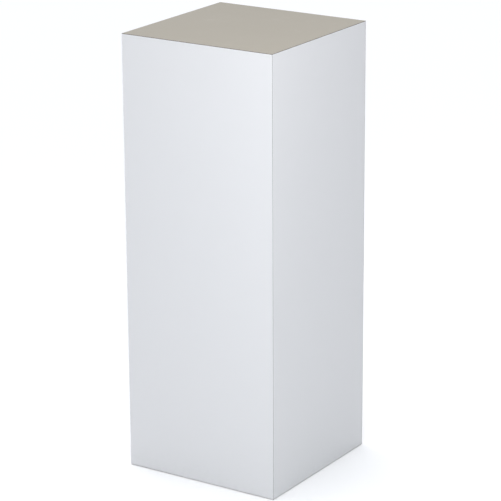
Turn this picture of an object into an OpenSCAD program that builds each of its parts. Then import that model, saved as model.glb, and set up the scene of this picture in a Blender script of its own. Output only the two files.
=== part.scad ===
// Display plinth: a tall square box for showing an object on.
// A board carcass is dowelled and battened at its corners, covered with sheets of hard laminate,
// open underneath, and stands on four screw-adjusted levelling feet set up inside its base.
// Origin: the middle of the footprint, on the floor. +Z is up and -Y is the front.

/* [Overall] */
// Width of the finished plinth, left to right
plinth_w = 292; // [232:4:600]
// Depth of the finished plinth, front to back
plinth_d = 292; // [232:4:600]
// Height from the floor to the display surface
plinth_h = 762; // [460:6:1200]
// Gap between the floor and the walls with the feet wound fully in
floor_gap = 1; // [1:0.5:5]

/* [Boards and laminate] */
// Thickness of the five carcass boards
board_t = 16; // [14:1:22]
// Thickness of the laminate sheets
laminate_t = 0.8; // [0.6:0.1:1.2]
// Bevel filed on the laminate's outer edges
laminate_bevel = 0.2; // [0.1:0.05:0.4]

/* [Framing] */
// Side of the square battens and top cleats
batten_s = 20; // [18:1:26]
// Thickness of the rails along the foot of each wall
rail_t = 20; // [16:1:26]
// Plan size of the square foot blocks
block_s = 48; // [44:1:60]
// Height of the foot blocks and the base rails
block_h = 30; // [28:1:40]

/* [Dowels] */
// Dowel diameter
dowel_d = 8; // [6:1:8]
// Dowel length
dowel_len = 30; // [26:1:40]
// How deep a dowel enters the face of a board
dowel_face = 11; // [9:0.5:12]
// Dowels down each corner
dowels_up = 5; // [3:1:7]

/* [Screws] */
// Screw shank diameter
screw_d = 4; // [3:0.5:4.5]
// Screw head diameter
screw_head_d = 8; // [7:0.5:9]
// How far every screw bites into the wall or the top behind its batten
screw_bite = 10; // [8:0.5:12]
// Height between the two screws that cross in a batten
screw_stagger = 16; // [12:1:24]

/* [Levelling feet] */
// Thread diameter of the foot
thread_d = 8; // [6:1:10]
// Thread pitch: how far one turn moves the foot
thread_pitch = 1.25; // [1:0.25:1.5]
// How far the foot winds out
foot_travel = 12; // [6:1:12]
// Thread left above the tee nut's barrel with the foot wound right out
stem_spare = 3.2; // [1:0.1:3.2]
// Hexagon across its flats
hex_af = 13; // [12:1:17]
// Height of the hexagon
hex_h = 5; // [4:0.5:8]
// Diameter of the foot's pad
pad_d = 32; // [28:1:36]
// Height of the pad with its sole
pad_h = 8; // [7.5:0.5:10]
// Thickness of the rubber sole
sole_t = 2; // [1.5:0.5:2.5]
// Distance from the inner faces of the walls to a foot's centre line
foot_inset = 27; // [24:0.5:28]
// Wall of the tee nut's barrel
barrel_wall = 1.2; // [0.8:0.1:1.6]
// Length of the tee nut's barrel in the block
barrel_len = 10; // [8:0.5:14]
// Diameter of the tee nut's flange
flange_d = 22; // [20:1:24]
// Thickness of the tee nut's flange
flange_t = 1.5; // [1:0.25:2]

/* [Clearances] */
// Radial clearance of a dowel or a screw in its hole
hole_play = 0.1; // [0.05:0.05:0.2]
// Radial clearance of the stem in the tee nut and in the pad
thread_play = 0.08; // [0.02:0.02:0.1]
// End gap between pieces of a foot that turn past each other
turn_gap = 0.2; // [0.1:0.05:0.4]
// Gap left under the tee nut when a foot is wound in
stop_gap = 0.3; // [0.2:0.05:0.5]

/* [Hidden] */
$fn = 64;
eps = 0.01;
over = 1;

// The carcass, inside the laminate
box_w = plinth_w - 2 * laminate_t;
box_d = plinth_d - 2 * laminate_t;
in_x = box_w / 2 - board_t;
in_y = box_d / 2 - board_t;
wall_z = floor_gap;
ceiling_z = plinth_h - laminate_t - board_t;
wall_h = ceiling_z - wall_z;

// The foot, from the floor up
sole_proud = 0.7;
sole_inset = 3;
sole_d = pad_d - 2 * sole_inset;
sole_play = 0.1;
rivet_t = 1.8;
rivet_lip = 1.6;
rivet_d = thread_d + 2 * rivet_lip;
rivet_play = 0.4;
rivet_z = sole_t + turn_gap;
web_z = rivet_z + rivet_t + turn_gap;
hex_z = pad_h + turn_gap;
stem_z = hex_z + hex_h;
flange_z = stem_z + stop_gap;
block_z = flange_z + flange_t;
block_top_z = block_z + block_h;
stem_len = stop_gap + flange_t + barrel_len + foot_travel + stem_spare;
stem_chamfer = 0.8 * thread_pitch;
thread_hole_d = thread_d + 2 * thread_play;
barrel_d = thread_hole_d + 2 * barrel_wall;
barrel_hole_d = barrel_d + 2 * hole_play;
pad_edge = 0.5;
pad_shoulder = 4;
pad_top_d = hex_af + 2 * pad_shoulder;
pad_rim_h = 3;

// Tee nut prongs
prong_n = 4;
prong_w = 4;
prong_t = 1.2;
prong_len = 7;
prong_edge = 0.3;
prong_r = flange_d / 2 - prong_t / 2 - prong_edge;
prong_turn = 45;

// A pointed hole is deeper than its point by this many clearances
point_plays = 3;

// Screws
screw_head_h = 2.4;
screw_land = 0.2;
screw_tip = 5;
recess_share = 0.55;
recess_l = recess_share * screw_head_d;
recess_w = 0.9;
recess_h = 1.7;
batten_screw_len = batten_s + screw_bite;
rail_screw_len = rail_t + screw_bite;
block_screw_len = block_s + screw_bite;
block_screw_at = (block_s + foot_inset + barrel_hole_d / 2) / 2;
block_screw_low = 9;
block_screw_high = 21;

// Dowels
dowel_chamfer = 1;
dowel_end_gap = 0.5;
dowel_over_block = 20;
dowel_under_cleat = 25;
dowel_low_z = block_top_z + dowel_over_block;
dowel_high_z = ceiling_z - batten_s - dowel_under_cleat;
dowel_step = (dowel_high_z - dowel_low_z) / (dowels_up - 1);
cleat_x = 2 * (in_x - batten_s);
cleat_y = 2 * (in_y - batten_s);
rail_x = 2 * (in_x - block_s);
rail_y = 2 * (in_y - block_s);
top_dowel_at = [-0.4, 0, 0.4];
cleat_side_at = [-0.2, 0.2];
cleat_up_at = [-0.35, 0.35];
rail_screw_at = [-0.3, 0.3];

BOARD = [0.70, 0.60, 0.45];
WHITE = [0.90, 0.90, 0.92];
TOP = [0.72, 0.70, 0.65];
PINE = [0.85, 0.70, 0.48];
BEECH = [0.80, 0.62, 0.42];
ZINC = [0.75, 0.76, 0.78];
BRASSY = [0.78, 0.68, 0.38];
BLACK = [0.10, 0.10, 0.11];
RUBBER = [0.20, 0.20, 0.20];

// Corners as [name, x side, y side], and walls as [name, direction outwards]
CORNERS = [["front_left", -1, -1], ["front_right", 1, -1], ["back_left", -1, 1], ["back_right", 1, 1]];
WALLS = [["front", [0, -1, 0]], ["back", [0, 1, 0]], ["left", [-1, 0, 0]], ["right", [1, 0, 0]]];
CORNER_PIECES = ["batten", "foot_block", "tee_nut", "foot_stem", "foot_pad", "foot_sole", "dowels"];
WALL_PIECES = ["board", "laminate", "top_cleat", "base_rail"];
SINGLE_PIECES = ["top_board", "top_laminate", "top_dowels", "batten_screws", "cleat_screws",
    "rail_screws", "block_screws"];

// ---- Where things go -------------------------------------------------------------------------

function along_x(out) = out.y != 0;
function half_in(out) = along_x(out) ? in_y : in_x;
function sideways(out) = along_x(out) ? [1, 0, 0] : [0, 1, 0];

// Heights of the dowels in a corner, and of the two screws in each bay between them
dowel_zs = [for (i = [0 : dowels_up - 1]) dowel_low_z + i * dowel_step];
bay_zs = [for (i = [0 : dowels_up - 2]) dowel_low_z + (i + 0.5) * dowel_step];

// A screw is [place of its head, direction it points, length]
function batten_screws_at(sx, sy) = [for (z = bay_zs, k = [-1, 1])
    k < 0
    ? [[sx * (in_x - batten_s), sy * (in_y - batten_s / 2), z - screw_stagger / 2], [sx, 0, 0], batten_screw_len]
    : [[sx * (in_x - batten_s / 2), sy * (in_y - batten_s), z + screw_stagger / 2], [0, sy, 0], batten_screw_len]];

function block_screws_at(sx, sy) = [
    [[sx * (in_x - block_screw_at), sy * (in_y - block_s), block_z + block_screw_low],
        [0, sy, 0], block_screw_len],
    [[sx * (in_x - block_s), sy * (in_y - block_screw_at), block_z + block_screw_high],
        [sx, 0, 0], block_screw_len]];

function cleat_len(out) = along_x(out) ? cleat_x : cleat_y;
function rail_len(out) = along_x(out) ? rail_x : rail_y;

function cleat_screws_at(out) = concat(
    [for (s = cleat_side_at) [out * (half_in(out) - batten_s) + sideways(out) * s * cleat_len(out)
        + [0, 0, ceiling_z - batten_s / 2], out, batten_screw_len]],
    [for (s = cleat_up_at) [out * (half_in(out) - batten_s / 2) + sideways(out) * s * cleat_len(out)
        + [0, 0, ceiling_z - batten_s], [0, 0, 1], batten_screw_len]]);

function rail_screws_at(out) = [for (s = rail_screw_at)
    [out * (half_in(out) - rail_t) + sideways(out) * s * rail_len(out) + [0, 0, block_z + block_h / 2],
        out, rail_screw_len]];

all_batten_screws = [for (c = CORNERS) each batten_screws_at(c[1], c[2])];
all_block_screws = [for (c = CORNERS) each block_screws_at(c[1], c[2])];
all_cleat_screws = [for (w = WALLS) each cleat_screws_at(w[1])];
all_rail_screws = [for (w = WALLS) each rail_screws_at(w[1])];
all_screws = concat(all_batten_screws, all_block_screws, all_cleat_screws, all_rail_screws);
function screws_towards(out) = [for (s = all_screws) if (s[1] == out) s];

// A dowel is [place of its far end in the board's face, direction from there]
function corner_dowels_at(sx, sy) = [for (z = dowel_zs)
    [[sx * (in_x + board_t / 2), sy * (in_y + dowel_face), z], [0, -sy, 0]]];
function wall_dowels_at(out) = [for (s = top_dowel_at)
    [out * (half_in(out) + board_t / 2) + sideways(out) * s * cleat_len(out)
        + [0, 0, ceiling_z + dowel_face], [0, 0, -1]]];
all_top_dowels = [for (w = WALLS) each wall_dowels_at(w[1])];

// ---- Small tools -----------------------------------------------------------------------------

// Turns +Z to one of the six row directions
function aim(v) = v.x != 0 ? [0, 90 * v.x, 0] : v.y != 0 ? [-90 * v.y, 0, 0] : [v.z < 0 ? 180 : 0, 0, 0];

module put(item) {
    translate(item[0]) rotate(aim(item[1])) children();
}

// A box given by its lowest and highest corners
module block_between(low, high) {
    translate(low) cube(high - low);
}

// A cylinder with its lower end at z
module rod(z, d, h) {
    translate([0, 0, z]) cylinder(d = d, h = h);
}

// ---- Dowels and screws -----------------------------------------------------------------------

module dowel() {
    color(BEECH) rotate_extrude()
        polygon([[0, 0], [dowel_d / 2 - dowel_chamfer, 0], [dowel_d / 2, dowel_chamfer],
            [dowel_d / 2, dowel_len - dowel_chamfer], [dowel_d / 2 - dowel_chamfer, dowel_len], [0, dowel_len]]);
}

module dowel_hole() {
    rod(-dowel_end_gap, dowel_d + 2 * hole_play, dowel_len + 2 * dowel_end_gap);
}

// Half the outline of a countersunk screw from top to tip, or of its hole
module screw_profile(top, length, play) {
    head_r = screw_head_d / 2 + play;
    shank_r = screw_d / 2 + play;
    polygon([[0, top], [head_r, top], [head_r, screw_land + play], [shank_r, screw_head_h + play],
        [shank_r, length - screw_tip + play], [0, length + point_plays * play]]);
}

module screw(length) {
    color(BRASSY) difference() {
        rotate_extrude() screw_profile(0, length, 0);
        for (a = [0, 90]) rotate(a)
            translate([-recess_l / 2, -recess_w / 2, -over]) cube([recess_l, recess_w, recess_h + over]);
    }
}

module screw_holes(list) {
    for (s = list) put(s) rotate_extrude() screw_profile(-over, s[2], hole_play);
}

module screws(list) {
    for (s = list) put(s) screw(s[2]);
}

// ---- Boards and laminate ---------------------------------------------------------------------

// The front and back boards run the full width, and the side boards fit between them
module board(out) {
    half = along_x(out) ? [box_w / 2, board_t / 2, 0] : [board_t / 2, in_y, 0];
    middle = out * (half_in(out) + board_t / 2);
    color(BOARD) difference() {
        block_between(middle - half + [0, 0, wall_z], middle + half + [0, 0, ceiling_z]);
        screw_holes(screws_towards(out));
        for (c = CORNERS) if (c[1] * out.x > 0 || c[2] * out.y > 0)
            for (d = corner_dowels_at(c[1], c[2])) put(d) dowel_hole();
        for (d = wall_dowels_at(out)) put(d) dowel_hole();
    }
}

module top_board() {
    color(BOARD) difference() {
        block_between([-box_w / 2, -box_d / 2, ceiling_z], [box_w / 2, box_d / 2, ceiling_z + board_t]);
        screw_holes(screws_towards([0, 0, 1]));
        for (d = all_top_dowels) put(d) dowel_hole();
    }
}

// A sheet lying on z = 0 with its show face up. bevel_x cuts its two short ends and bevel_y its long edges.
module sheet(size_x, size_y, bevel_x, bevel_y) {
    intersection() {
        translate([0, size_y / 2, 0]) rotate([90, 0, 0]) linear_extrude(size_y)
            polygon([[-size_x / 2, 0], [size_x / 2, 0], [size_x / 2, laminate_t - bevel_x],
                [size_x / 2 - bevel_x, laminate_t], [-size_x / 2 + bevel_x, laminate_t],
                [-size_x / 2, laminate_t - bevel_x]]);
        translate([-size_x / 2, 0, 0]) rotate([90, 0, 90]) linear_extrude(size_x)
            polygon([[-size_y / 2, 0], [size_y / 2, 0], [size_y / 2, laminate_t - bevel_y[1]],
                [size_y / 2 - bevel_y[1], laminate_t], [-size_y / 2 + bevel_y[0], laminate_t],
                [-size_y / 2, laminate_t - bevel_y[0]]]);
    }
}

// The side sheets go on first, and the front and back sheets lap over their edges
module wall_laminate(out) {
    wide = along_x(out) ? plinth_w : box_d;
    tall = ceiling_z + board_t - wall_z;
    lap = along_x(out) ? laminate_bevel : 0;
    color(WHITE) translate(out * (half_in(out) + board_t) + [0, 0, wall_z + tall / 2])
        rotate([90, 0, along_x(out) ? (out.y < 0 ? 0 : 180) : 90 * out.x])
        sheet(wide, tall, lap, [laminate_bevel, 0]);
}

module top_laminate() {
    color(TOP) translate([0, 0, ceiling_z + board_t])
        sheet(plinth_w, plinth_d, laminate_bevel, [laminate_bevel, laminate_bevel]);
}

// ---- Framing inside --------------------------------------------------------------------------

module batten(sx, sy) {
    corner = [sx * in_x, sy * in_y, 0];
    inner = [sx * (in_x - batten_s), sy * (in_y - batten_s), 0];
    color(PINE) difference() {
        block_between([min(corner.x, inner.x), min(corner.y, inner.y), block_top_z],
            [max(corner.x, inner.x), max(corner.y, inner.y), ceiling_z]);
        screw_holes(batten_screws_at(sx, sy));
    }
}

// A length of timber against a wall: from z up, as thick as t
module along_wall(out, length, t, z, h) {
    half = along_x(out) ? [length / 2, t / 2, 0] : [t / 2, length / 2, 0];
    middle = out * (half_in(out) - t / 2) + [0, 0, z];
    block_between(middle - half, middle + half + [0, 0, h]);
}

module top_cleat(out) {
    color(PINE) difference() {
        along_wall(out, cleat_len(out), batten_s, ceiling_z - batten_s, batten_s);
        screw_holes(cleat_screws_at(out));
    }
}

module base_rail(out) {
    color(PINE) difference() {
        along_wall(out, rail_len(out), rail_t, block_z, block_h);
        screw_holes(rail_screws_at(out));
    }
}

module foot_block(sx, sy) {
    corner = [sx * in_x, sy * in_y, 0];
    inner = [sx * (in_x - block_s), sy * (in_y - block_s), 0];
    color(BEECH) difference() {
        block_between([min(corner.x, inner.x), min(corner.y, inner.y), block_z],
            [max(corner.x, inner.x), max(corner.y, inner.y), block_top_z]);
        screw_holes(block_screws_at(sx, sy));
        at_foot(sx, sy) {
            rod(block_z - over, barrel_hole_d, block_h + 2 * over);
            prongs(hole_play);
        }
    }
}

// ---- Levelling feet --------------------------------------------------------------------------

module at_foot(sx, sy) {
    translate([sx * (in_x - foot_inset), sy * (in_y - foot_inset), 0]) children();
}

// The tee nut's four spikes, rising from the flange into the block
module prongs(play) {
    for (i = [0 : prong_n - 1]) rotate(prong_turn + i * 360 / prong_n)
        translate([prong_r, 0, block_z - eps]) rotate([90, 0, 90])
        translate([0, 0, -prong_t / 2 - play]) linear_extrude(prong_t + 2 * play)
        polygon([[-prong_w / 2 - play, 0], [prong_w / 2 + play, 0], [0, prong_len + point_plays * play]]);
}

module tee_nut(sx, sy) {
    color(ZINC) at_foot(sx, sy) {
        difference() {
            union() {
                rod(flange_z, flange_d, flange_t);
                rod(block_z - eps, barrel_d, barrel_len);
                prongs(0);
            }
            rod(flange_z - over, thread_hole_d, flange_t + barrel_len + 2 * over);
        }
    }
}

// A threaded stem with a hexagon to turn it, and a riveted end that holds the pad on
module foot_stem(sx, sy) {
    color(ZINC) at_foot(sx, sy) {
        rod(rivet_z, rivet_d, rivet_t);
        rod(rivet_z + rivet_t - eps, thread_d, hex_z - rivet_z - rivet_t + 2 * eps);
        translate([0, 0, hex_z]) cylinder(d = hex_af / cos(30), h = hex_h, $fn = 6);
        rod(stem_z - eps, thread_d, stem_len - stem_chamfer + eps);
        translate([0, 0, stem_z + stem_len - stem_chamfer])
            cylinder(d1 = thread_d, d2 = thread_d - 2 * stem_chamfer, h = stem_chamfer);
    }
}

module foot_pad(sx, sy) {
    color(BLACK) at_foot(sx, sy) difference() {
        rotate_extrude() polygon([[0, sole_proud], [pad_d / 2 - pad_edge, sole_proud],
            [pad_d / 2, sole_proud + pad_edge], [pad_d / 2, pad_rim_h], [pad_top_d / 2, pad_h], [0, pad_h]]);
        rod(sole_proud - over, sole_d + 2 * sole_play, sole_t - sole_proud + over);
        rod(sole_t - over, rivet_d + 2 * rivet_play, web_z - sole_t + over);
        rod(sole_t, thread_hole_d, pad_h);
    }
}

module foot_sole(sx, sy) {
    color(RUBBER) at_foot(sx, sy) rod(0, sole_d, sole_t);
}

// ---- Every node ------------------------------------------------------------------------------

for (w = WALLS) {
    board(w[1]);
    wall_laminate(w[1]);
    top_cleat(w[1]);
    base_rail(w[1]);
}
for (c = CORNERS) {
    batten(c[1], c[2]);
    foot_block(c[1], c[2]);
    tee_nut(c[1], c[2]);
    foot_stem(c[1], c[2]);
    foot_pad(c[1], c[2]);
    foot_sole(c[1], c[2]);
    for (d = corner_dowels_at(c[1], c[2])) put(d) dowel();
}
top_board();
top_laminate();
for (d = all_top_dowels) put(d) dowel();  // top_dowels
screws(all_batten_screws);  // batten_screws
screws(all_cleat_screws);  // cleat_screws
screws(all_rail_screws);  // rail_screws
screws(all_block_screws);  // block_screws
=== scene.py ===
import math

import bmesh
import bpy
from bpy.props import FloatProperty, FloatVectorProperty, PointerProperty
from bpy.types import Operator, Panel, PropertyGroup
from mathutils import Matrix, Vector


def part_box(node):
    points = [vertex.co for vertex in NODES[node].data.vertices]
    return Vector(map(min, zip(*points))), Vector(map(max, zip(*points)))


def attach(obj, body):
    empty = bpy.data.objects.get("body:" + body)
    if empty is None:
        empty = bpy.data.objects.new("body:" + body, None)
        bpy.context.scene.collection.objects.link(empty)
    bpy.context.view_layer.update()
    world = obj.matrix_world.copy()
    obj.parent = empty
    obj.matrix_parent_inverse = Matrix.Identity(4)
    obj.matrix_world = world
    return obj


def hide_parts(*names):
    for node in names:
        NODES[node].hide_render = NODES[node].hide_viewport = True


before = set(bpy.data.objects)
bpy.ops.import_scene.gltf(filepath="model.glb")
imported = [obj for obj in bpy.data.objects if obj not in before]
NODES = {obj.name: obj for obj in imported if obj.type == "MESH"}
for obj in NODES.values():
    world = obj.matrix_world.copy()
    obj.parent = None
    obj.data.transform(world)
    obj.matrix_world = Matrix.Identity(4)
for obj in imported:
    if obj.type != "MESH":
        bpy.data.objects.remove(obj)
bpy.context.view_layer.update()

bl_info = {
    "name": "Display plinth",
    "version": (1, 0, 0),
    "blender": (4, 5, 0),
    "location": "3D View > Sidebar > Plinth",
    "description": "Builds a laminate-covered display plinth with its framing and levelling feet",
    "category": "Object",
}

CORNERS = {
    "front_left": (-1, -1),
    "front_right": (1, -1),
    "back_left": (-1, 1),
    "back_right": (1, 1),
}
WALLS = {
    "front": Vector((0, -1, 0)),
    "back": Vector((0, 1, 0)),
    "left": Vector((-1, 0, 0)),
    "right": Vector((1, 0, 0)),
}
UP = Vector((0, 0, 1))
# Smallest distance that counts as one
TINY = 1e-6
# An edge runs along an axis when this much of its direction does
ALONG = 0.9
# Reach of the zone at a screw's or a dowel's end
END_ZONE = 0.0005
# Wood screws: radius at the thread's root and crest, its pitch, its length and that of the tip, and
# radius of the holes for the head and the neck
SCREW_ROOT = 0.00142
SCREW_CREST = 0.00204
SCREW_PITCH = 0.0018
SCREW_THREAD = 0.0205
SCREW_TIP = 0.0048
SCREW_HEAD_HOLE_R = 0.0041
SCREW_NECK_HOLE_R = 0.0021
# Feet: pitch of the thread, width of the hexagon across its flats, and top of the stem
FOOT_PITCH = 0.00125
HEXAGON_FLATS = 0.0130
STEM_TOP = 0.0402
# Tee nuts: from the axis to the flats left by the prongs, half a flat's width, the first prong's
# turn, the share of a prong's width left at its point, its play in its slot, and the barrel's hole
PRONG_FLAT = 0.01072
PRONG_HALF_W = 0.0026
PRONG_TURN = 45
PRONG_POINT = 0.08
PRONG_PLAY = 0.0001
BARREL_HOLE_R = 0.00538
# Turns by which a thread is made too long at each end before it is cut
SPARE_TURNS = 2
# Sides of the round shapes whose faces are picked one by one
DOWEL_SIDES = 36
PAD_SIDES = 96
# The camera's sensor and the end of its sight
SENSOR_W = 36
SIGHT_END = 60
# Soft light from a direction, and its colour
SURROUND = (
    ((0, 0, 1), (0.827, 0.917, 0.947)),
    ((-0.707, 0, 0.707), (0.310, 0.307, 0.321)),
    ((-0.577, 0.577, 0.577), (0.674, 0.614, 0.651)),
)
# Name, azimuth, height, distance, diameter and aim height of each soft lamp, and its colour
LAMPS = (
    ("low_lamp", 35, 0.75, 1.2, 0.7, 0.5, (0.354, 0.367, 0.370)),
    ("near_lamp", 50, 1.1, 0.8, 0.5, 0.75, (0.174, 0.168, 0.169)),
    ("high_lamp", 15, 1.8, 1.3, 0.8, 0.7, (0.244, 0.244, 0.243)),
)


def colour(name, text, value):
    return FloatVectorProperty(
        name=name, description=text, default=value, subtype="COLOR", size=3, min=0, max=1
    )


def length(name, text, value):
    return FloatProperty(name=name, description=text, default=value, unit="LENGTH", min=0, precision=5)


def angle(name, text, degrees):
    return FloatProperty(name=name, description=text, default=math.radians(degrees), unit="ROTATION")


class PlinthColours(PropertyGroup):
    """Colours of the finishes, as linear values"""

    side_decor: colour("Side laminate", "Decor layer of the sheets on the walls", (0.680, 0.680, 0.693))
    # Painted shade: the top sheet is the walls' white laminate, given a darker, warmer colour that stands
    # for the shade on the top face
    top_decor_painted_shade: colour("Top laminate", "Decor layer of the sheet on the top", (0.328, 0.297, 0.233))
    side_core: colour("Side core", "Phenolic core that shows at a side sheet's edges", (0.165, 0.158, 0.146))
    # Painted shade: the same paper core as the side sheets', made darker so that the top sheet's edge shows
    # as a dark line where the top meets the walls
    top_core_painted_shade: colour("Top core", "Darker core that shows round the top sheet", (0.075, 0.070, 0.062))
    fibreboard: colour("Fibreboard", "Faces of the carcass boards", (0.46, 0.33, 0.20))
    softwood: colour("Softwood", "Battens, cleats and rails", (0.64, 0.45, 0.25))
    beech: colour("Beech", "Foot blocks and dowels", (0.55, 0.34, 0.18))
    zinc: colour("Bright zinc", "Plating of the tee nuts and stems", (0.60, 0.62, 0.64))
    yellow_zinc: colour("Yellow zinc", "Plating of the screws", (0.62, 0.50, 0.22))
    nylon: colour("Nylon", "Moulded pads of the feet", (0.018, 0.018, 0.020))
    rubber: colour("Rubber", "Soles of the feet", (0.055, 0.053, 0.050))


class PlinthSizes(PropertyGroup):
    """Sizes of the details that are finer than the frame's"""

    decor_t: length("Decor thickness", "Depth of the white or grey face of a sheet", 0.00012)
    filed: length("Filed edge", "Width of the bevel on a sheet's filed edges", 0.0002)
    arris: length("Timber arris", "Width of the eased edges of planed timber", 0.0008)
    sawn_end: length("Timber end", "Width of the bevel round the sawn ends of timber", 0.00025)


class PlinthStage(PropertyGroup):
    """Camera, floor and lights"""

    azimuth: angle("Camera azimuth", "Round from the front, towards the right", 33.030)
    elevation: angle("Camera elevation", "Above level", 17.654)
    roll: angle("Camera roll", "Turn about the line of sight", -0.332)
    distance: length("Camera distance", "From the aim point", 4.1163)
    aim: FloatVectorProperty(
        name="Camera aim",
        description="Point that the camera looks at",
        default=(0.0056, 0.0042, 0.3736),
        subtype="XYZ",
        unit="LENGTH",
        size=3,
    )
    lens: FloatProperty(
        name="Focal length", description="For a sensor 36 mm wide", default=173.66, unit="CAMERA"
    )
    floor_r: length("Floor radius", "Reach of the pale floor", 14.0)
    lamps: FloatProperty(
        name="Lamps", description="Watts of a soft lamp whose colour is full white", default=10
    )
    sky: FloatProperty(name="Surround", description="Strength of the soft light all round", default=1)


# ---- Modelling tools -------------------------------------------------------------------------


def deselect():
    """Leaves edit mode and selects nothing, so an operator meets only what comes next."""
    if bpy.context.object and bpy.context.object.mode != "OBJECT":
        bpy.ops.object.mode_set(mode="OBJECT")
    bpy.ops.object.select_all(action="DESELECT")


def named(name):
    """Gives the newest object its name."""
    made = bpy.context.object
    made.name = name
    if made.data:
        made.data.name = name
    return made


def activate(piece):
    """Makes the piece the only one selected, and the active one."""
    deselect()
    piece.select_set(True)
    bpy.context.view_layer.objects.active = piece


def settle(piece):
    """Moves the object's place, turn and scale into its mesh."""
    activate(piece)
    bpy.ops.object.transform_apply(location=True, rotation=True, scale=True)


def add_box(name, low, high):
    """A box between two opposite corners."""
    deselect()
    low, high = Vector(low), Vector(high)
    bpy.ops.mesh.primitive_cube_add(size=1, location=(low + high) / 2)
    piece = named(name)
    piece.scale = high - low
    settle(piece)
    return piece


def edit_none(piece, kind):
    """Opens a piece in edit mode with nothing selected, and gives its mesh."""
    activate(piece)
    bpy.ops.object.mode_set(mode="EDIT")
    bpy.ops.mesh.select_all(action="DESELECT")
    bpy.ops.mesh.select_mode(type=kind)
    return bmesh.from_edit_mesh(piece.data)


def edit_all(piece):
    """Opens a piece in edit mode with all of it selected."""
    activate(piece)
    bpy.ops.object.mode_set(mode="EDIT")
    bpy.ops.mesh.select_all(action="SELECT")


def pick_edges(piece, test):
    """In edit mode, selects the edges for which test(middle, direction) holds."""
    mesh = edit_none(piece, "EDGE")
    for edge in mesh.edges:
        a, b = (v.co for v in edge.verts)
        edge.select_set(test((a + b) / 2, (b - a).normalized()))
    bmesh.update_edit_mesh(piece.data)


def pick_faces(piece, test):
    """In edit mode, selects the faces for which test(middle, normal) holds."""
    mesh = edit_none(piece, "FACE")
    for face in mesh.faces:
        face.select_set(test(face.calc_center_median(), face.normal))
    bmesh.update_edit_mesh(piece.data)


def finish_piece(piece, slot, body, *replaced):
    """Places a finished piece on its body and hides the nodes that it stands for."""
    deselect()
    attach(piece, body)
    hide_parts(*replaced)
    return piece


# ---- Shapes turned, threaded and cut ---------------------------------------------------------


def add_outline(name, points):
    """Draws a line through points of (radius, height), vertex by vertex."""
    deselect()
    start = Vector((points[0][0], 0, points[0][1]))
    bpy.ops.mesh.primitive_plane_add(size=0.001, location=start)
    piece = named(name)
    settle(piece)
    bpy.ops.object.mode_set(mode="EDIT")
    bpy.ops.mesh.select_mode(type="VERT")
    bpy.ops.mesh.select_all(action="SELECT")
    bpy.ops.mesh.merge(type="CENTER")
    for (r0, z0), (r1, z1) in zip(points, points[1:]):
        bpy.ops.mesh.extrude_region_move(TRANSFORM_OT_translate={"value": (r1 - r0, 0, z1 - z0)})
    return piece


def tidy_mesh(piece):
    """Merges what coincides and points the faces outwards."""
    edit_all(piece)
    bpy.ops.mesh.remove_doubles(threshold=TINY)
    bpy.ops.mesh.normals_make_consistent(inside=False)
    bpy.ops.object.mode_set(mode="OBJECT")


def add_lathe(name, points, steps):
    """Turns an outline of (radius, height) about the Z axis. A ring's outline ends where it starts."""
    piece = add_outline(name, points)
    bpy.ops.mesh.select_all(action="SELECT")
    bpy.ops.mesh.spin(steps=steps, angle=2 * math.pi, center=(0, 0, 0), axis=(0, 0, 1))
    tidy_mesh(piece)
    return piece


def apply_modifier(piece, kind, **settings):
    """Adds a modifier with these settings and applies it."""
    activate(piece)
    modifier = piece.modifiers.new(kind.lower(), kind)
    for key, value in settings.items():
        setattr(modifier, key, value)
    bpy.ops.object.modifier_apply(modifier=modifier.name)


def add_thread(name, root, crest, pitch, low, high, steps):
    """A solid rod with a helical thread up the Z axis, cut square at both ends."""
    ridge = [(root, 0.0), (root, 0.22), (crest, 0.56), (crest, 0.66), (root, 1.0)]
    piece = add_outline(name, [(r, low + pitch * (share - SPARE_TURNS)) for r, share in ridge])
    bpy.ops.object.mode_set(mode="OBJECT")
    turns = math.ceil((high - low) / pitch) + 2 * SPARE_TURNS
    apply_modifier(
        piece,
        "SCREW",
        axis="Z",
        angle=2 * math.pi,
        screw_offset=pitch,
        iterations=turns,
        steps=steps,
        render_steps=steps,
    )
    tidy_mesh(piece)
    for height, above in ((low, False), (high, True)):
        edit_all(piece)
        bpy.ops.mesh.bisect(
            plane_co=(0, 0, height),
            plane_no=(0, 0, 1),
            use_fill=True,
            clear_outer=above,
            clear_inner=not above,
            threshold=TINY / 10,
        )
        bpy.ops.object.mode_set(mode="OBJECT")
    tidy_mesh(piece)
    return piece


def combine(piece, other, how):
    """Joins other to piece, cuts it away, or keeps what both fill, and removes other."""
    mends_itself = how != "INTERSECT"
    apply_modifier(
        piece, "BOOLEAN", object=other, operation=how, solver="EXACT", use_self=mends_itself
    )
    bpy.data.objects.remove(other)


def own_copy(model, name, matrix):
    """A copy with its own mesh, placed by moving the mesh."""
    copy = model.copy()
    copy.data = model.data.copy()
    copy.name = copy.data.name = name
    bpy.context.collection.objects.link(copy)
    copy.data.transform(matrix)
    return copy


def join(pieces, name):
    """Makes several pieces one."""
    deselect()
    for piece in pieces:
        piece.select_set(True)
    bpy.context.view_layer.objects.active = pieces[0]
    bpy.ops.object.join()
    return named(name)


def smooth(piece, degrees=32):
    activate(piece)
    bpy.ops.object.shade_smooth_by_angle(angle=math.radians(degrees))


def paint(piece, material):
    piece.data.materials.clear()
    piece.data.materials.append(material)


def solids_of(node):
    """The corner points of each separate solid in a node, in a fixed order."""
    mesh = bmesh.new()
    mesh.from_mesh(NODES[node].data)
    bmesh.ops.remove_doubles(mesh, verts=mesh.verts, dist=TINY)
    found = []
    for first in mesh.verts:
        if first.tag:
            continue
        first.tag = True
        waiting = [first]
        points = []
        while waiting:
            vertex = waiting.pop()
            points.append(vertex.co.copy())
            for edge in vertex.link_edges:
                other = edge.other_vert(vertex)
                if not other.tag:
                    other.tag = True
                    waiting.append(other)
        found.append(points)
    mesh.free()
    return found


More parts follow.
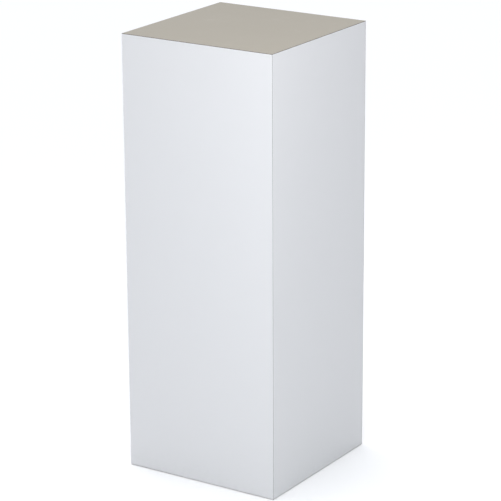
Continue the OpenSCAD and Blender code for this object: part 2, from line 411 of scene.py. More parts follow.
def lie_of(points):
    """The place of a screw's head or a dowel's end, the way it points, and its length."""
    low = Vector([min(p[k] for p in points) for k in range(3)])
    high = Vector([max(p[k] for p in points) for k in range(3)])
    size = high - low
    k = max(range(3), key=lambda i: size[i])
    side = (k + 1) % 3
    middle = (low + high) / 2

    def reach(near):
        return max(abs(p[side] - middle[side]) for p in points if abs(p[k] - near) < END_ZONE)

    head_low = reach(low[k]) >= reach(high[k]) - TINY
    middle[k] = low[k] if head_low else high[k]
    out = Vector((0, 0, 0))
    out[k] = 1 if head_low else -1
    return middle, out, round(size[k], 4)


def stand(place, out, turn=0.0):
    """The matrix that takes a shape made up the Z axis to its place."""
    aim = out.to_track_quat("Z", "Y").to_matrix().to_4x4()
    return Matrix.Translation(place) @ aim @ Matrix.Rotation(turn, 4, "Z")


def lies_of(*nodes):
    """The lie of every screw or dowel in these nodes."""
    return [lie_of(points) for node in nodes for points in solids_of(node)]


def foot_place(corner):
    """The matrix from the axis of a foot made at the origin to its corner."""
    low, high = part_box(corner + "_foot_sole")
    return Matrix.Translation(((low.x + high.x) / 2, (low.y + high.y) / 2, 0))


def set_in_feet(model, ending, slot, part, body):
    """Copies a model to the four feet and removes it. In body, {corner} is each foot's own corner."""
    for corner in CORNERS:
        piece = own_copy(model, f"{corner}_{ending}", foot_place(corner))
        finish_piece(piece, slot, body.format(corner=corner), f"{corner}_{part}")
    bpy.data.objects.remove(model)


# ---- Material tools --------------------------------------------------------------------------


def add_node(tree, kind, **settings):
    """A new node with these settings."""
    node = tree.nodes.new(kind)
    for key, value in settings.items():
        setattr(node, key, value)
    return node


def feed(tree, socket, value):
    """Links a socket to another, or gives it a value of its own."""
    if isinstance(value, bpy.types.NodeSocket):
        tree.links.new(value, socket)
    else:
        socket.default_value = value


class Finish:
    """A procedural material under construction, read from Object coordinates."""

    def __init__(self, name, base, roughness, metallic=0.0, specular=0.5):
        self.material = bpy.data.materials.new(name)
        self.material.use_nodes = True
        self.tree = self.material.node_tree
        self.shader = self.tree.nodes["Principled BSDF"]
        self.shader.inputs["Base Color"].default_value = (*base, 1)
        self.shader.inputs["Roughness"].default_value = roughness
        self.shader.inputs["Metallic"].default_value = metallic
        self.shader.inputs["Specular IOR Level"].default_value = specular
        self.place = self.add("ShaderNodeTexCoord").outputs["Object"]

    def add(self, kind, **settings):
        return add_node(self.tree, kind, **settings)

    def feed(self, socket, value):
        feed(self.tree, socket, value)

    def maths(self, kind, a, b):
        node = self.add("ShaderNodeMath", operation=kind)
        self.feed(node.inputs[0], a)
        self.feed(node.inputs[1], b)
        return node.outputs[0]

    def stretched(self, scale):
        node = self.add("ShaderNodeMapping")
        self.feed(node.inputs["Vector"], self.place)
        node.inputs["Scale"].default_value = scale
        return node.outputs["Vector"]

    def noise(self, scale, detail=2.0, roughness=0.5, stretch=None):
        node = self.add("ShaderNodeTexNoise")
        self.feed(node.inputs["Vector"], self.stretched(stretch) if stretch else self.place)
        node.inputs["Scale"].default_value = scale
        node.inputs["Detail"].default_value = detail
        node.inputs["Roughness"].default_value = roughness
        return node.outputs["Fac"]

    def part(self, value, low, high):
        """0 below low and 1 above high, smooth between; turned round where low is above high."""
        node = self.add("ShaderNodeMapRange", interpolation_type="SMOOTHSTEP")
        turned = low > high
        self.feed(node.inputs["Value"], value)
        node.inputs["From Min"].default_value = min(low, high)
        node.inputs["From Max"].default_value = max(low, high)
        node.inputs["To Min"].default_value = 1.0 if turned else 0.0
        node.inputs["To Max"].default_value = 0.0 if turned else 1.0
        return node.outputs["Result"]

    def between(self, share, a, b):
        """The colour a where share is 0 and b where it is 1."""
        node = self.add("ShaderNodeMix", data_type="RGBA", blend_type="MIX")
        self.feed(node.inputs["Factor"], share)
        for socket, value in ((node.inputs[6], a), (node.inputs[7], b)):
            self.feed(socket, value if isinstance(value, bpy.types.NodeSocket) else (*value, 1))
        return node.outputs[2]

    def range(self, share, low, high):
        """A number from low to high as share goes from 0 to 1."""
        node = self.add("ShaderNodeMapRange")
        self.feed(node.inputs["Value"], share)
        node.inputs["To Min"].default_value = low
        node.inputs["To Max"].default_value = high
        return node.outputs["Result"]

    def axes(self):
        node = self.add("ShaderNodeSeparateXYZ")
        self.feed(node.inputs[0], self.place)
        return node.outputs

    def colour(self, value):
        self.feed(self.shader.inputs["Base Color"], value)

    def roughness(self, value):
        self.feed(self.shader.inputs["Roughness"], value)

    def bump(self, height, distance):
        node = self.add("ShaderNodeBump")
        node.inputs["Strength"].default_value = 1.0
        node.inputs["Distance"].default_value = distance
        self.feed(node.inputs["Height"], height)
        self.feed(self.shader.inputs["Normal"], node.outputs["Normal"])


def scaled(rgb, factor):
    """A colour made lighter or darker."""
    return tuple(min(1.0, c * factor) for c in rgb)


def decor(name, rgb):
    """The hard coloured face of a laminate sheet, with a fine suede texture and faint rub marks."""
    made = Finish(name, rgb, 0.46, specular=0.42)
    cloud = made.noise(5.5, 3.0, 0.55)
    grain = made.noise(2600.0, 2.0, 0.6)
    rub = made.part(made.noise(34.0, 5.0, 0.62, stretch=(1.0, 1.0, 0.35)), 0.56, 0.74)
    low = made.part(made.axes()[2], 0.045, 0.0)
    scuff = made.maths("MULTIPLY", low, made.part(made.noise(90.0, 4.0, 0.6), 0.42, 0.70))
    even = made.between(cloud, scaled(rgb, 0.992), scaled(rgb, 1.008))
    fine = made.between(grain, scaled(rgb, 0.985), scaled(rgb, 1.015))
    both = made.between(0.5, even, fine)
    made.colour(made.between(made.maths("MULTIPLY", scuff, 0.06), both, scaled(rgb, 0.62)))
    shine = made.range(cloud, 0.42, 0.50)
    made.roughness(made.maths("SUBTRACT", shine, made.maths("MULTIPLY", rub, 0.05)))
    made.bump(grain, 0.000035)
    return made.material


def core(name, rgb):
    """The layered brown-grey paper core that shows where a sheet is cut."""
    made = Finish(name, rgb, 0.62, specular=0.35)
    fibre = made.noise(900.0, 3.0, 0.6)
    patch = made.noise(160.0, 3.0, 0.6)
    dark = made.between(patch, scaled(rgb, 0.72), scaled(rgb, 1.22))
    made.colour(made.between(made.part(fibre, 0.35, 0.70), dark, scaled(rgb, 0.95)))
    made.roughness(made.range(patch, 0.52, 0.72))
    made.bump(fibre, 0.00006)
    return made.material


def fibreboard(name, rgb, foot_z):
    """Fibreboard with smooth sanded faces and darker, rougher sawn edges at the foot."""
    made = Finish(name, rgb, 0.78, specular=0.25)
    fleck = made.noise(1500.0, 3.0, 0.65)
    cloud = made.noise(14.0, 3.0, 0.5)
    clump = made.noise(260.0, 3.0, 0.6)
    face = made.between(cloud, scaled(rgb, 0.93), scaled(rgb, 1.07))
    flecked = made.between(made.part(fleck, 0.42, 0.66), face, scaled(rgb, 0.80))
    dots = made.maths("MULTIPLY", made.part(clump, 0.62, 0.76), 0.45)
    dotted = made.between(dots, flecked, scaled(rgb, 1.30))
    sawn = made.part(made.axes()[2], foot_z + 0.0006, foot_z + 0.0001)
    made.colour(made.between(made.maths("MULTIPLY", sawn, 0.75), dotted, scaled(rgb, 0.68)))
    made.roughness(made.range(fleck, 0.70, 0.88))
    made.bump(made.maths("ADD", fleck, made.maths("MULTIPLY", clump, sawn)), 0.00009)
    return made.material


def timber(name, rgb, along, seed, ring, contrast, pores):
    """Planed timber with growth rings that run as streaks along the grain, and open pores."""
    made = Finish(name, rgb, 0.62, specular=0.32)
    shift = made.add("ShaderNodeMapping")
    made.feed(shift.inputs["Vector"], made.place)
    shift.inputs["Location"].default_value = (0.31 * seed, 0.17 * seed, 0.23 * seed)
    shift.inputs["Scale"].default_value = [0.055 if k == along else 1.0 for k in range(3)]
    made.place = shift.outputs["Vector"]
    bend = made.noise(9.0, 3.0, 0.5)
    rings = made.add("ShaderNodeTexWave", wave_type="RINGS", wave_profile="SAW")
    rings.rings_direction = "XYZ"[along]
    made.feed(rings.inputs["Vector"], made.place)
    rings.inputs["Scale"].default_value = ring
    rings.inputs["Distortion"].default_value = 6.0
    rings.inputs["Detail"].default_value = 2.5
    rings.inputs["Detail Scale"].default_value = 9.0
    late = made.part(rings.outputs["Fac"], 0.40, 0.98)
    pore = made.maths("MULTIPLY", made.part(made.noise(1900.0, 2.0, 0.6), 0.56, 0.70), pores)
    ray = made.noise(480.0, 3.0, 0.55, stretch=[0.3 if k == along else 1.0 for k in range(3)])
    pale = made.between(bend, scaled(rgb, 0.94), scaled(rgb, 1.10))
    late_rgb = (rgb[0] * 0.66, rgb[1] * 0.52, rgb[2] * 0.40)
    grown = made.between(made.maths("MULTIPLY", late, contrast), pale, late_rgb)
    streaked = made.between(made.maths("MULTIPLY", ray, 0.35), grown, scaled(rgb, 1.12))
    made.colour(made.between(pore, streaked, scaled(rgb, 0.50)))
    made.roughness(made.range(ray, 0.52, 0.72))
    made.bump(made.maths("SUBTRACT", made.maths("MULTIPLY", late, 0.6), pore), 0.00010)
    return made.material


def plated(name, rgb, tint, roughness):
    """Zinc-plated steel: a faint spangle, an uneven tint, fine drawing lines and dulled spots."""
    made = Finish(name, rgb, roughness, metallic=1.0)
    cloud = made.noise(420.0, 3.0, 0.55)
    spangle = made.add("ShaderNodeTexVoronoi", feature="F1")
    made.feed(spangle.inputs["Vector"], made.place)
    spangle.inputs["Scale"].default_value = 1500.0
    cell = made.add("ShaderNodeSeparateColor")
    made.feed(cell.inputs[0], spangle.outputs["Color"])
    fine = made.noise(5200.0, 2.0, 0.6)
    dull = made.part(made.noise(700.0, 4.0, 0.6), 0.56, 0.72)
    toned = made.between(made.part(cloud, 0.30, 0.70), rgb, tint)
    spotted = made.between(made.maths("MULTIPLY", dull, 0.45), toned, scaled(rgb, 0.55))
    made.colour(made.between(made.maths("MULTIPLY", cell.outputs[0], 0.16), spotted, scaled(rgb, 1.25)))
    drawn = made.range(fine, roughness - 0.07, roughness + 0.07)
    made.roughness(made.maths("ADD", drawn, made.maths("MULTIPLY", dull, 0.14)))
    made.bump(made.maths("ADD", fine, made.maths("MULTIPLY", cloud, 0.7)), 0.00003)
    return made.material


def moulded(name, rgb, grain, roughness, worn_z):
    """Moulded nylon or rubber with a spark-eroded grain, and dust and rubbing near the floor."""
    made = Finish(name, rgb, roughness, specular=0.4)
    texture = made.noise(grain, 3.0, 0.6)
    cloud = made.noise(240.0, 3.0, 0.55)
    base = made.between(cloud, scaled(rgb, 0.85), tuple(c + 0.010 for c in rgb))
    low = made.part(made.axes()[2], worn_z, 0.0)
    dust = made.maths("MULTIPLY", low, made.part(cloud, 0.40, 0.65))
    made.colour(made.between(made.maths("MULTIPLY", dust, 0.30), base, (0.20, 0.19, 0.17)))
    grained = made.range(texture, roughness - 0.06, roughness + 0.08)
    made.roughness(made.maths("ADD", grained, made.maths("MULTIPLY", dust, 0.15)))
    made.bump(texture, 0.00006)
    return made.material


# ---- Laminate --------------------------------------------------------------------------------


class PLINTH_OT_laminate(Operator):
    """Lay the five laminate sheets over the carcass, with filed edges that show the core"""

    bl_idname = "plinth.laminate"
    bl_label = "Laminate sheets"

    def execute(self, context):
        colours = context.scene.plinth_colours
        side_core = core("laminate_side_core", colours.side_core)
        # The top sheet's darker core is painted shade along the top edge
        top_core_painted_shade = core("laminate_top_core", colours.top_core_painted_shade)
        side_decor = decor("laminate_side_decor", colours.side_decor)
        # The top sheet's face colour is painted shade on the walls' white laminate
        top_decor_painted_shade = decor("laminate_top_decor", colours.top_decor_painted_shade)
        for wall, out in WALLS.items():
            self.sheet(f"{wall}_laminate", out, side_decor, side_core, "side_laminate")
        self.sheet("top_laminate", UP, top_decor_painted_shade, top_core_painted_shade, "top_laminate")
        return {"FINISHED"}

    def sheet(self, node, out, face, edge, slot):
        sizes = bpy.context.scene.plinth_sizes
        low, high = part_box(node)
        piece = add_box(node + "_sheet", low, high)
        outer = max(low.dot(out), high.dot(out))
        lapped = node in ("left_laminate", "right_laminate")

        def filed(middle, along):
            if abs(middle.dot(out) - outer) > TINY:
                return False
            if out is UP:
                return True
            if abs(along.z) > ALONG:
                return not lapped
            return middle.z < low.z + TINY

        pick_edges(piece, filed)
        bpy.ops.mesh.bevel(offset=sizes.filed, segments=3, profile=0.5)
        bpy.ops.object.mode_set(mode="OBJECT")
        piece.data.materials.append(face)
        piece.data.materials.append(edge)
        for polygon in piece.data.polygons:
            shows = outer - polygon.center.dot(out) < sizes.decor_t
            polygon.material_index = 0 if shows else 1
        finish_piece(piece, slot, "carcass", node)


# ---- Carcass boards --------------------------------------------------------------------------


class PLINTH_OT_boards(Operator):
    """Finish the five carcass boards, which keep the frame's own shapes"""

    bl_idname = "plinth.boards"
    bl_label = "Carcass boards"

    def execute(self, context):
        foot_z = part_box("front_board")[0].z
        material = fibreboard("fibreboard", context.scene.plinth_colours.fibreboard, foot_z)
        for name in [*WALLS, "top"]:
            board = NODES[name + "_board"]
            for socket in board.material_slots:
                socket.material = material
        return {"FINISHED"}


# ---- Framing ---------------------------------------------------------------------------------


def screw_cutter(lies, name):
    """Countersunk clearance holes for the screws at these places."""
    holes = []
    for index, (head, out, reach) in enumerate(lies):
        outline = [
            (0, -0.001),
            (SCREW_HEAD_HOLE_R, -0.001),
            (SCREW_HEAD_HOLE_R, 0.0003),
            (SCREW_NECK_HOLE_R, 0.0025),
            (SCREW_NECK_HOLE_R, reach - 0.0049),
            (0, reach + 0.0003),
        ]
        hole = add_lathe(f"{name}_{index}", outline, steps=24)
        hole.data.transform(stand(head, out))
        holes.append(hole)
    return join(holes, name)


def crossing(lies, low, high):
    """Those screws whose heads sit in the sides of this box."""
    edge = Vector((END_ZONE,) * 3)
    lower, upper = low - edge, high + edge
    return [lie for lie in lies if all(lower[k] <= lie[0][k] <= upper[k] for k in range(3))]


def add_timber(node, lies):
    """A planed length with its long arrises eased and its screw holes drilled."""
    sizes = bpy.context.scene.plinth_sizes
    low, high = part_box(node)
    size = high - low
    along = max(range(3), key=lambda k: size[k])
    ends = (low[along], high[along])
    piece = add_box(node + "_timber", low, high)
    pick_edges(piece, lambda middle, way: abs(way[along]) > ALONG)
    bpy.ops.mesh.bevel(offset=sizes.arris, segments=3, profile=0.5)
    pick_edges(piece, lambda middle, way: min(abs(middle[along] - end) for end in ends) < TINY)
    bpy.ops.mesh.bevel(offset=sizes.sawn_end, segments=1)
    bpy.ops.object.mode_set(mode="OBJECT")
    drilled = crossing(lies, low, high)
    if drilled:
        combine(piece, screw_cutter(drilled, node + "_holes"), "DIFFERENCE")
    return piece, along


class PLINTH_OT_framing(Operator):
    """Plane and drill the corner battens, the top cleats and the base rails"""

    bl_idname = "plinth.framing"
    bl_label = "Battens, cleats and rails"

    def execute(self, context):
        rgb = context.scene.plinth_colours.softwood
        lies = lies_of("batten_screws", "cleat_screws", "rail_screws")
        nodes = [f"{corner}_batten" for corner in CORNERS]
        nodes += [f"{wall}_{part}" for wall in WALLS for part in ("top_cleat", "base_rail")]
        for index, node in enumerate(nodes):
            piece, along = add_timber(node, lies)
            wood = timber(
                f"softwood_{index}", rgb, along, seed=index + 1, ring=85.0, contrast=0.62, pores=0.06
            )
            paint(piece, wood)
            smooth(piece)
            finish_piece(piece, "batten_wood", "carcass", node)
        return {"FINISHED"}


class PLINTH_OT_foot_blocks(Operator):
    """Make the four beech blocks, bored for the tee nuts and slotted by their prongs"""

    bl_idname = "plinth.foot_blocks"
    bl_label = "Foot blocks"

    def execute(self, context):
        rgb = context.scene.plinth_colours.beech
        lies = lies_of("block_screws")
        for index, corner in enumerate(CORNERS):
            node = corner + "_foot_block"
            piece, _ = add_timber(node, lies)
            place = foot_place(corner)
            outline = [(0, 0.010), (BARREL_HOLE_R, 0.010), (BARREL_HOLE_R, 0.050), (0, 0.050)]
            bore = add_lathe("block_bore", outline, steps=48)
            bore.data.transform(place)
            combine(piece, bore, "DIFFERENCE")
            slots = join([prong(k, PRONG_PLAY) for k in range(4)], "block_slots")
            slots.data.transform(place)
            combine(piece, slots, "DIFFERENCE")
            wood = timber(
                f"beech_{index}", rgb, index % 2, seed=index + 21, ring=120.0, contrast=0.22, pores=0.40
            )
            paint(piece, wood)
            smooth(piece)
            finish_piece(piece, "block_wood", "carcass", node)
        return {"FINISHED"}


# ---- Dowels and screws -----------------------------------------------------------------------


class PLINTH_OT_dowels(Operator):
    """Turn a fluted, chamfered dowel and set one at every place in the corners and the top"""

    bl_idname = "plinth.dowels"
    bl_label = "Dowels"

    def execute(self, context):
        rgb = context.scene.plinth_colours.beech
        material = timber("dowel_beech", rgb, along=2, seed=31, ring=120.0, contrast=0.2, pores=0.40)
        outline = [(0, 0), (0.003, 0), (0.004, 0.001), (0.004, 0.029), (0.003, 0.030), (0, 0.030)]
        dowel = add_lathe("dowel", outline, DOWEL_SIDES)
        side = 2 * math.pi / DOWEL_SIDES

        def flute(middle, normal):
            step = round(math.atan2(middle.y, middle.x) / side - 0.5)
            return abs(normal.z) < 0.1 and step % 3 == 0

        pick_faces(dowel, flute)
        bpy.ops.mesh.inset(thickness=0.00008, depth=-0.0002)
        bpy.ops.object.mode_set(mode="OBJECT")
        smooth(dowel, 20)
        for node in [corner + "_dowels" for corner in CORNERS] + ["top_dowels"]:
            copies = [
                own_copy(dowel, f"{node}_{index}", stand(place, out, index * 0.7))
                for index, (place, out, _) in enumerate(lies_of(node))
            ]
            piece = join(copies, node + "_fluted")
            paint(piece, material)
            finish_piece(piece, "dowel_wood", "carcass", node)
        bpy.data.objects.remove(dowel)
        return {"FINISHED"}


def add_screw(reach):
    """A countersunk wood screw up the Z axis: cross recess, plain neck, coarse thread, sharp tip."""
    neck = reach - SCREW_THREAD
    outline = [
        (0, 0.00012),
        (0.0036, 0.00012),
        (0.00385, 0),
        (0.0040, 0.00012),
        (0.0040, 0.0003),
        (0.0019, 0.0025),
        (0.00155, 0.0032),
        (0.00155, neck + 0.0003),
        (0, neck + 0.0003),
    ]
    screw = add_lathe("screw_body", outline, steps=40)
    thread = add_thread(
        "screw_thread", SCREW_ROOT, SCREW_CREST, SCREW_PITCH, low=neck, high=reach, steps=20
    )
    for vertex in thread.data.vertices:
        radius = vertex.co.xy.length
        start = min(1.0, 0.45 + (vertex.co.z - neck) / 0.002)
        kept = SCREW_ROOT + (radius - SCREW_ROOT) * start if radius > SCREW_ROOT else radius
        tip = min(1.0, 0.06 + 0.94 * (reach - vertex.co.z) / SCREW_TIP)
        if radius > TINY:
            vertex.co.xy = vertex.co.xy * (kept * tip / radius)
    combine(screw, thread, "UNION")
    wings = []
    for k in range(2):
        wing = add_box(f"recess_{k}", (-0.0022, -0.00045, -0.001), (0.0022, 0.00045, 0.0017))
        for vertex in wing.data.vertices:
            if vertex.co.z > 0:
                vertex.co.x *= 0.52
                vertex.co.y *= 0.70
        wing.data.transform(Matrix.Rotation(k * math.pi / 2, 4, "Z"))
        wings.append(wing)
    combine(screw, join(wings, "recess"), "DIFFERENCE")
    tidy_mesh(screw)
    smooth(screw, 38)
    return screw


class PLINTH_OT_screws(Operator):
    """Make the two lengths of wood screw and drive one home at every place"""

    bl_idname = "plinth.screws"
    bl_label = "Wood screws"

    def execute(self, context):
        rgb = context.scene.plinth_colours.yellow_zinc
        material = plated("yellow_zinc", rgb, (rgb[0] * 0.92, rgb[1] * 0.84, rgb[2] * 1.25), roughness=0.30)
        models = {}
        for node in ("batten_screws", "cleat_screws", "rail_screws", "block_screws"):
            copies = []
            for index, (head, out, reach) in enumerate(lies_of(node)):
                if reach not in models:
                    models[reach] = add_screw(reach)
                copies.append(own_copy(models[reach], f"{node}_{index}", stand(head, out, index * 1.9)))
            piece = join(copies, node + "_driven")
            paint(piece, material)
            finish_piece(piece, "screw", "carcass", node)
        for model in models.values():
            bpy.data.objects.remove(model)
        return {"FINISHED"}


# ---- Levelling feet --------------------------------------------------------------------------


def prong(k, play):
    """One of the tee nut's four spikes, or its slot in the block where play isn't 0."""
    low = Vector((0.0095, -0.002, 0.0140))
    high = Vector((0.0107, 0.002, 0.0220))
    grow = Vector((play, play, 3 * play))
    spike = add_box(f"prong_{k}", low - grow, high + grow)
    half_way = (low.z + high.z) / 2
    for vertex in spike.data.vertices:
        if vertex.co.z > half_way:
            vertex.co.y *= PRONG_POINT
    if not play:
        pick_edges(spike, lambda middle, way: middle.z > low.z + TINY)
        bpy.ops.mesh.bevel(offset=0.0001, segments=2, profile=0.5)
        bpy.ops.object.mode_set(mode="OBJECT")
    spike.data.transform(Matrix.Rotation(math.radians(PRONG_TURN + 90 * k), 4, "Z"))
    return spike


class PLINTH_OT_tee_nuts(Operator):
    """Press the four tee nuts: flange, drawn and threaded barrel, and prongs bent up from the rim"""

    bl_idname = "plinth.tee_nuts"
    bl_label = "Tee nuts"

    def execute(self, context):
        rgb = context.scene.plinth_colours.zinc
        material = plated("tee_nut_zinc", rgb, (rgb[0] * 1.06, rgb[1] * 1.02, rgb[2] * 0.90), roughness=0.34)
        outline = [
            (0.00408, 0.0140),
            (0.00452, 0.0135),
            (0.0106, 0.0135),
            (0.0109, 0.0136),
            (0.0110, 0.0139),
            (0.0110, 0.0146),
            (0.0109, 0.0149),
            (0.0106, 0.0150),
            (0.0058, 0.0150),
            (0.0054, 0.0151),
            (0.00528, 0.0154),
            (0.00528, 0.0247),
            (0.00498, 0.0250),
            (0.00440, 0.0250),
            (0.00408, 0.0246),
            (0.00408, 0.0140),
        ]
        nut = add_lathe("tee_nut", outline, steps=72)
        for k in range(4):
            turn = math.radians(PRONG_TURN + 90 * k)
            out = Vector((math.cos(turn), math.sin(turn), 0))
            for vertex in nut.data.vertices:
                past = vertex.co.dot(out) - PRONG_FLAT
                across = abs(vertex.co.cross(out).z)
                if past > 0 and across < PRONG_HALF_W:
                    vertex.co -= out * past
        grooves = add_thread(
            "nut_grooves", root=0.00400, crest=0.00462, pitch=FOOT_PITCH, low=0.0130, high=0.0255, steps=28
        )
        combine(nut, grooves, "DIFFERENCE")
        combine(nut, join([prong(k, 0.0) for k in range(4)], "prongs"), "UNION")
        tidy_mesh(nut)
        smooth(nut)
        paint(nut, material)
        set_in_feet(nut, "tee_nut_pressed", "tee_nut", "tee_nut", "carcass")
        return {"FINISHED"}


class PLINTH_OT_foot_stems(Operator):
    """Make the four threaded stems with their hexagons and riveted ends"""

    bl_idname = "plinth.foot_stems"
    bl_label = "Threaded stems"

    def execute(self, context):
        rgb = context.scene.plinth_colours.zinc
        material = plated("stem_zinc", rgb, (rgb[0] * 1.02, rgb[1] * 1.00, rgb[2] * 0.94), roughness=0.28)
        outline = [
            (0, 0.0022),
            (0.0016, 0.0022),
            (0.0044, 0.00245),
            (0.0054, 0.0029),
            (0.0056, 0.0033),
            (0.0056, 0.0038),
            (0.0054, 0.0040),
            (0.0040, 0.0040),
            (0.0040, 0.0084),
            (0, 0.0084),
        ]
        stem = add_lathe("stem", outline, steps=40)
        reach = HEXAGON_FLATS / math.cos(math.radians(30)) / 2
        middle = (0, 0, 0.0107)
        deselect()
        bpy.ops.mesh.primitive_cylinder_add(vertices=6, radius=reach, depth=0.005, location=middle)
        hexagon = named("hexagon")
        settle(hexagon)
        hexagon.data.transform(Matrix.Rotation(math.radians(30), 4, "Z"))
        crown = [
            (0, 0.0082),
            (0.0064, 0.0082),
            (0.0077, 0.0089),
            (0.0077, 0.0125),
            (0.0064, 0.0132),
            (0, 0.0132),
        ]
        combine(hexagon, add_lathe("hexagon_crown", crown, steps=72), "INTERSECT")
        combine(stem, hexagon, "UNION")
        thread = add_thread(
            "stem_thread", root=0.00338, crest=0.00398, pitch=FOOT_PITCH, low=0.0129, high=STEM_TOP, steps=32
        )
        for vertex in thread.data.vertices:
            radius = vertex.co.xy.length
            most = 0.0030 + max(0.0, STEM_TOP - vertex.co.z)
            if radius > most:
                vertex.co.xy = vertex.co.xy * (most / radius)
        combine(stem, thread, "UNION")
        tidy_mesh(stem)
        smooth(stem)
        paint(stem, material)
        set_in_feet(stem, "threaded_stem", "foot_stem", "foot_stem", "{corner}_stem")
        return {"FINISHED"}


class PLINTH_OT_foot_pads(Operator):
    """Mould the four nylon pads, with sunk panels between their ribs"""

    bl_idname = "plinth.foot_pads"
    bl_label = "Nylon pads"

    def execute(self, context):
        rgb = context.scene.plinth_colours.nylon
        material = moulded("nylon", rgb, grain=2600.0, roughness=0.42, worn_z=0.004)
        outline = [
            (0.0060, 0.0020),
            (0.0131, 0.0020),
            (0.0131, 0.0007),
            (0.0155, 0.0007),
            (0.0159, 0.0009),
            (0.0160, 0.0013),
            (0.0160, 0.0027),
            (0.0158, 0.0031),
            (0.0154, 0.00335),
            (0.0112, 0.00735),
            (0.0108, 0.0078),
            (0.0103, 0.0080),
            (0.0045, 0.0080),
            (0.00408, 0.0076),
            (0.00408, 0.0042),
            (0.0060, 0.0042),
            (0.0060, 0.0020),
        ]
        pad = add_lathe("pad", outline, PAD_SIDES)
        side = 2 * math.pi / PAD_SIDES

        def panel(middle, normal):
            count = math.floor(math.atan2(middle.y, middle.x) / side) % 8
            return 0.0114 < middle.xy.length < 0.0152 and normal.z > 0.3 and count > 1

        pick_faces(pad, panel)
        bpy.ops.mesh.inset(thickness=0.0004, depth=0)
        bpy.ops.mesh.inset(thickness=0.00035, depth=-0.00055)
        bpy.ops.object.mode_set(mode="OBJECT")

        def grip(middle, normal):
            count = math.floor(math.atan2(middle.y, middle.x) / side) % 4
            return middle.xy.length > 0.0158 and abs(normal.z) < 0.2 and count > 1

        pick_faces(pad, grip)
        bpy.ops.mesh.inset(thickness=0.00018, depth=-0.00025)
        bpy.ops.object.mode_set(mode="OBJECT")
        smooth(pad, 30)
        paint(pad, material)
        set_in_feet(pad, "moulded_pad", "foot_pad", "foot_pad", "{corner}_pad")
        return {"FINISHED"}


class PLINTH_OT_foot_soles(Operator):
    """Mould the four rubber soles with ring grooves underneath"""

    bl_idname = "plinth.foot_soles"
    bl_label = "Rubber soles"

    def execute(self, context):
        rgb = context.scene.plinth_colours.rubber
        material = moulded("rubber", rgb, grain=1500.0, roughness=0.82, worn_z=0.0012)
        outline = [(0, 0.0005), (0.0014, 0.0005), (0.0017, 0)]
        for inner in (0.0040, 0.0067, 0.0094):
            outline += [(inner, 0), (inner + 0.0002, 0.0005)]
            outline += [(inner + 0.0009, 0.0005), (inner + 0.0011, 0)]
        outline += [(0.0126, 0), (0.0129, 0.0002), (0.0130, 0.0005)]
        outline += [(0.0130, 0.0018), (0.0128, 0.0020), (0, 0.0020)]
        sole = add_lathe("sole", outline, steps=72)
        smooth(sole, 30)
        paint(sole, material)
        set_in_feet(sole, "grooved_sole", "foot_sole", "foot_sole", "{corner}_pad")
        return {"FINISHED"}


# ---- Stage -----------------------------------------------------------------------------------


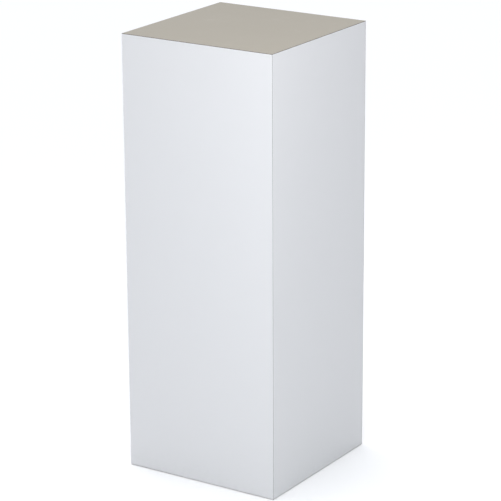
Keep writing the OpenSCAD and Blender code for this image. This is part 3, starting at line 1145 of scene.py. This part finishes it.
class PLINTH_OT_stage(Operator):
    """Set up the pale floor, the soft lights and the camera"""

    bl_idname = "plinth.stage"
    bl_label = "Stage"

    def execute(self, context):
        stage = context.scene.plinth_stage
        context.scene.view_settings.view_transform = "Standard"
        self.floor(stage)
        self.surround(stage)
        for name, *where in LAMPS:
            self.soft_lamp(name, stage.lamps, *where)
        self.camera(stage)
        return {"FINISHED"}

    def floor(self, stage):
        deselect()
        bpy.ops.mesh.primitive_circle_add(vertices=96, radius=stage.floor_r, fill_type="NGON")
        floor = named("studio_floor")
        floor.data.materials.append(self.floor_finish())
        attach(floor, "front_left_pad")

    def floor_finish(self):
        made = Finish("studio_floor_paint", (0.965, 0.965, 0.965), 0.9, specular=0.0)
        made.colour(made.between(made.noise(0.8), (0.975, 0.962, 0.962), (0.985, 0.970, 0.970)))
        return made.material

    def surround(self, stage):
        """Soft light from above and from the left and the back, with a plain white backdrop."""
        world = bpy.data.worlds.new("studio_surround")
        world.use_nodes = True
        tree = world.node_tree
        light = tree.nodes["Background"]
        aim = add_node(tree, "ShaderNodeTexCoord").outputs["Generated"]
        total = (0, 0, 0)
        for side, rgb in SURROUND:
            lobe = add_node(tree, "ShaderNodeVectorMath", operation="DOT_PRODUCT")
            feed(tree, lobe.inputs[0], aim)
            feed(tree, lobe.inputs[1], side)
            lit = add_node(tree, "ShaderNodeMath", operation="MAXIMUM")
            feed(tree, lit.inputs[0], lobe.outputs["Value"])
            feed(tree, lit.inputs[1], 0)
            tint = add_node(tree, "ShaderNodeVectorMath", operation="SCALE")
            feed(tree, tint.inputs[0], rgb)
            feed(tree, tint.inputs["Scale"], lit.outputs[0])
            both = add_node(tree, "ShaderNodeVectorMath", operation="ADD")
            feed(tree, both.inputs[0], total)
            feed(tree, both.inputs[1], tint.outputs[0])
            total = both.outputs[0]
        feed(tree, light.inputs["Color"], total)
        feed(tree, light.inputs["Strength"], stage.sky)
        backdrop = add_node(tree, "ShaderNodeBackground")
        feed(tree, backdrop.inputs["Color"], (1, 1, 1, 1))
        choice = add_node(tree, "ShaderNodeMixShader")
        seen = add_node(tree, "ShaderNodeLightPath").outputs["Is Camera Ray"]
        for socket, value in enumerate((seen, light.outputs[0], backdrop.outputs[0])):
            feed(tree, choice.inputs[socket], value)
        feed(tree, tree.nodes["World Output"].inputs["Surface"], choice.outputs[0])
        bpy.context.scene.world = world

    def soft_lamp(self, name, power, azimuth, height, away, size, aim_z, rgb):
        deselect()
        turn = math.radians(azimuth)
        place = Vector((math.sin(turn) * away, -math.cos(turn) * away, height))
        bpy.ops.object.light_add(type="AREA", location=place)
        lamp = named(name)
        lamp.rotation_euler = (Vector((0, 0, aim_z)) - place).to_track_quat("-Z", "Y").to_euler()
        lamp.visible_glossy = False
        lamp.data.shape = "DISK"
        lamp.data.size = size
        lamp.data.energy = power * max(rgb)
        lamp.data.color = [c / max(rgb) for c in rgb]
        lamp.visible_camera = False

    def camera(self, stage):
        deselect()
        a, e = stage.azimuth, stage.elevation
        back = Vector((math.sin(a) * math.cos(e), -math.cos(a) * math.cos(e), math.sin(e)))
        level = Vector((math.cos(a), math.sin(a), 0))
        upward = back.cross(level)
        right = level * math.cos(stage.roll) + upward * math.sin(stage.roll)
        top = back.cross(right)
        bpy.ops.object.camera_add(location=Vector(stage.aim) + back * stage.distance)
        camera = named("studio_camera")
        camera.rotation_mode = "QUATERNION"
        camera.rotation_quaternion = Matrix((right, top, back)).transposed().to_quaternion()
        camera.data.lens = stage.lens
        camera.data.sensor_width = SENSOR_W
        camera.data.clip_end = SIGHT_END
        bpy.context.scene.camera = camera


class PLINTH_PT_panel(Panel):
    """The steps of the plinth, in order"""

    bl_idname = "PLINTH_PT_panel"
    bl_label = "Display plinth"
    bl_space_type = "VIEW_3D"
    bl_region_type = "UI"
    bl_category = "Plinth"

    def draw(self, context):
        for step in STEPS:
            self.layout.operator(step.bl_idname)


STEPS = (
    PLINTH_OT_laminate,
    PLINTH_OT_boards,
    PLINTH_OT_framing,
    PLINTH_OT_foot_blocks,
    PLINTH_OT_dowels,
    PLINTH_OT_screws,
    PLINTH_OT_tee_nuts,
    PLINTH_OT_foot_stems,
    PLINTH_OT_foot_pads,
    PLINTH_OT_foot_soles,
    PLINTH_OT_stage,
)
GROUPS = {
    "plinth_colours": PlinthColours,
    "plinth_sizes": PlinthSizes,
    "plinth_stage": PlinthStage,
}


def register():
    for group in GROUPS.values():
        bpy.utils.register_class(group)
    for name, group in GROUPS.items():
        setattr(bpy.types.Scene, name, PointerProperty(type=group))
    for step in STEPS:
        bpy.utils.register_class(step)
    bpy.utils.register_class(PLINTH_PT_panel)


def unregister():
    bpy.utils.unregister_class(PLINTH_PT_panel)
    for step in reversed(STEPS):
        bpy.utils.unregister_class(step)
    for name in GROUPS:
        delattr(bpy.types.Scene, name)
    for group in GROUPS.values():
        bpy.utils.unregister_class(group)


def main():
    register()
    bpy.ops.plinth.laminate()
    bpy.ops.plinth.boards()
    bpy.ops.plinth.framing()
    bpy.ops.plinth.foot_blocks()
    bpy.ops.plinth.dowels()
    bpy.ops.plinth.screws()
    bpy.ops.plinth.tee_nuts()
    bpy.ops.plinth.foot_stems()
    bpy.ops.plinth.foot_pads()
    bpy.ops.plinth.foot_soles()
    bpy.ops.plinth.stage()


if __name__ == "__main__":
    main()
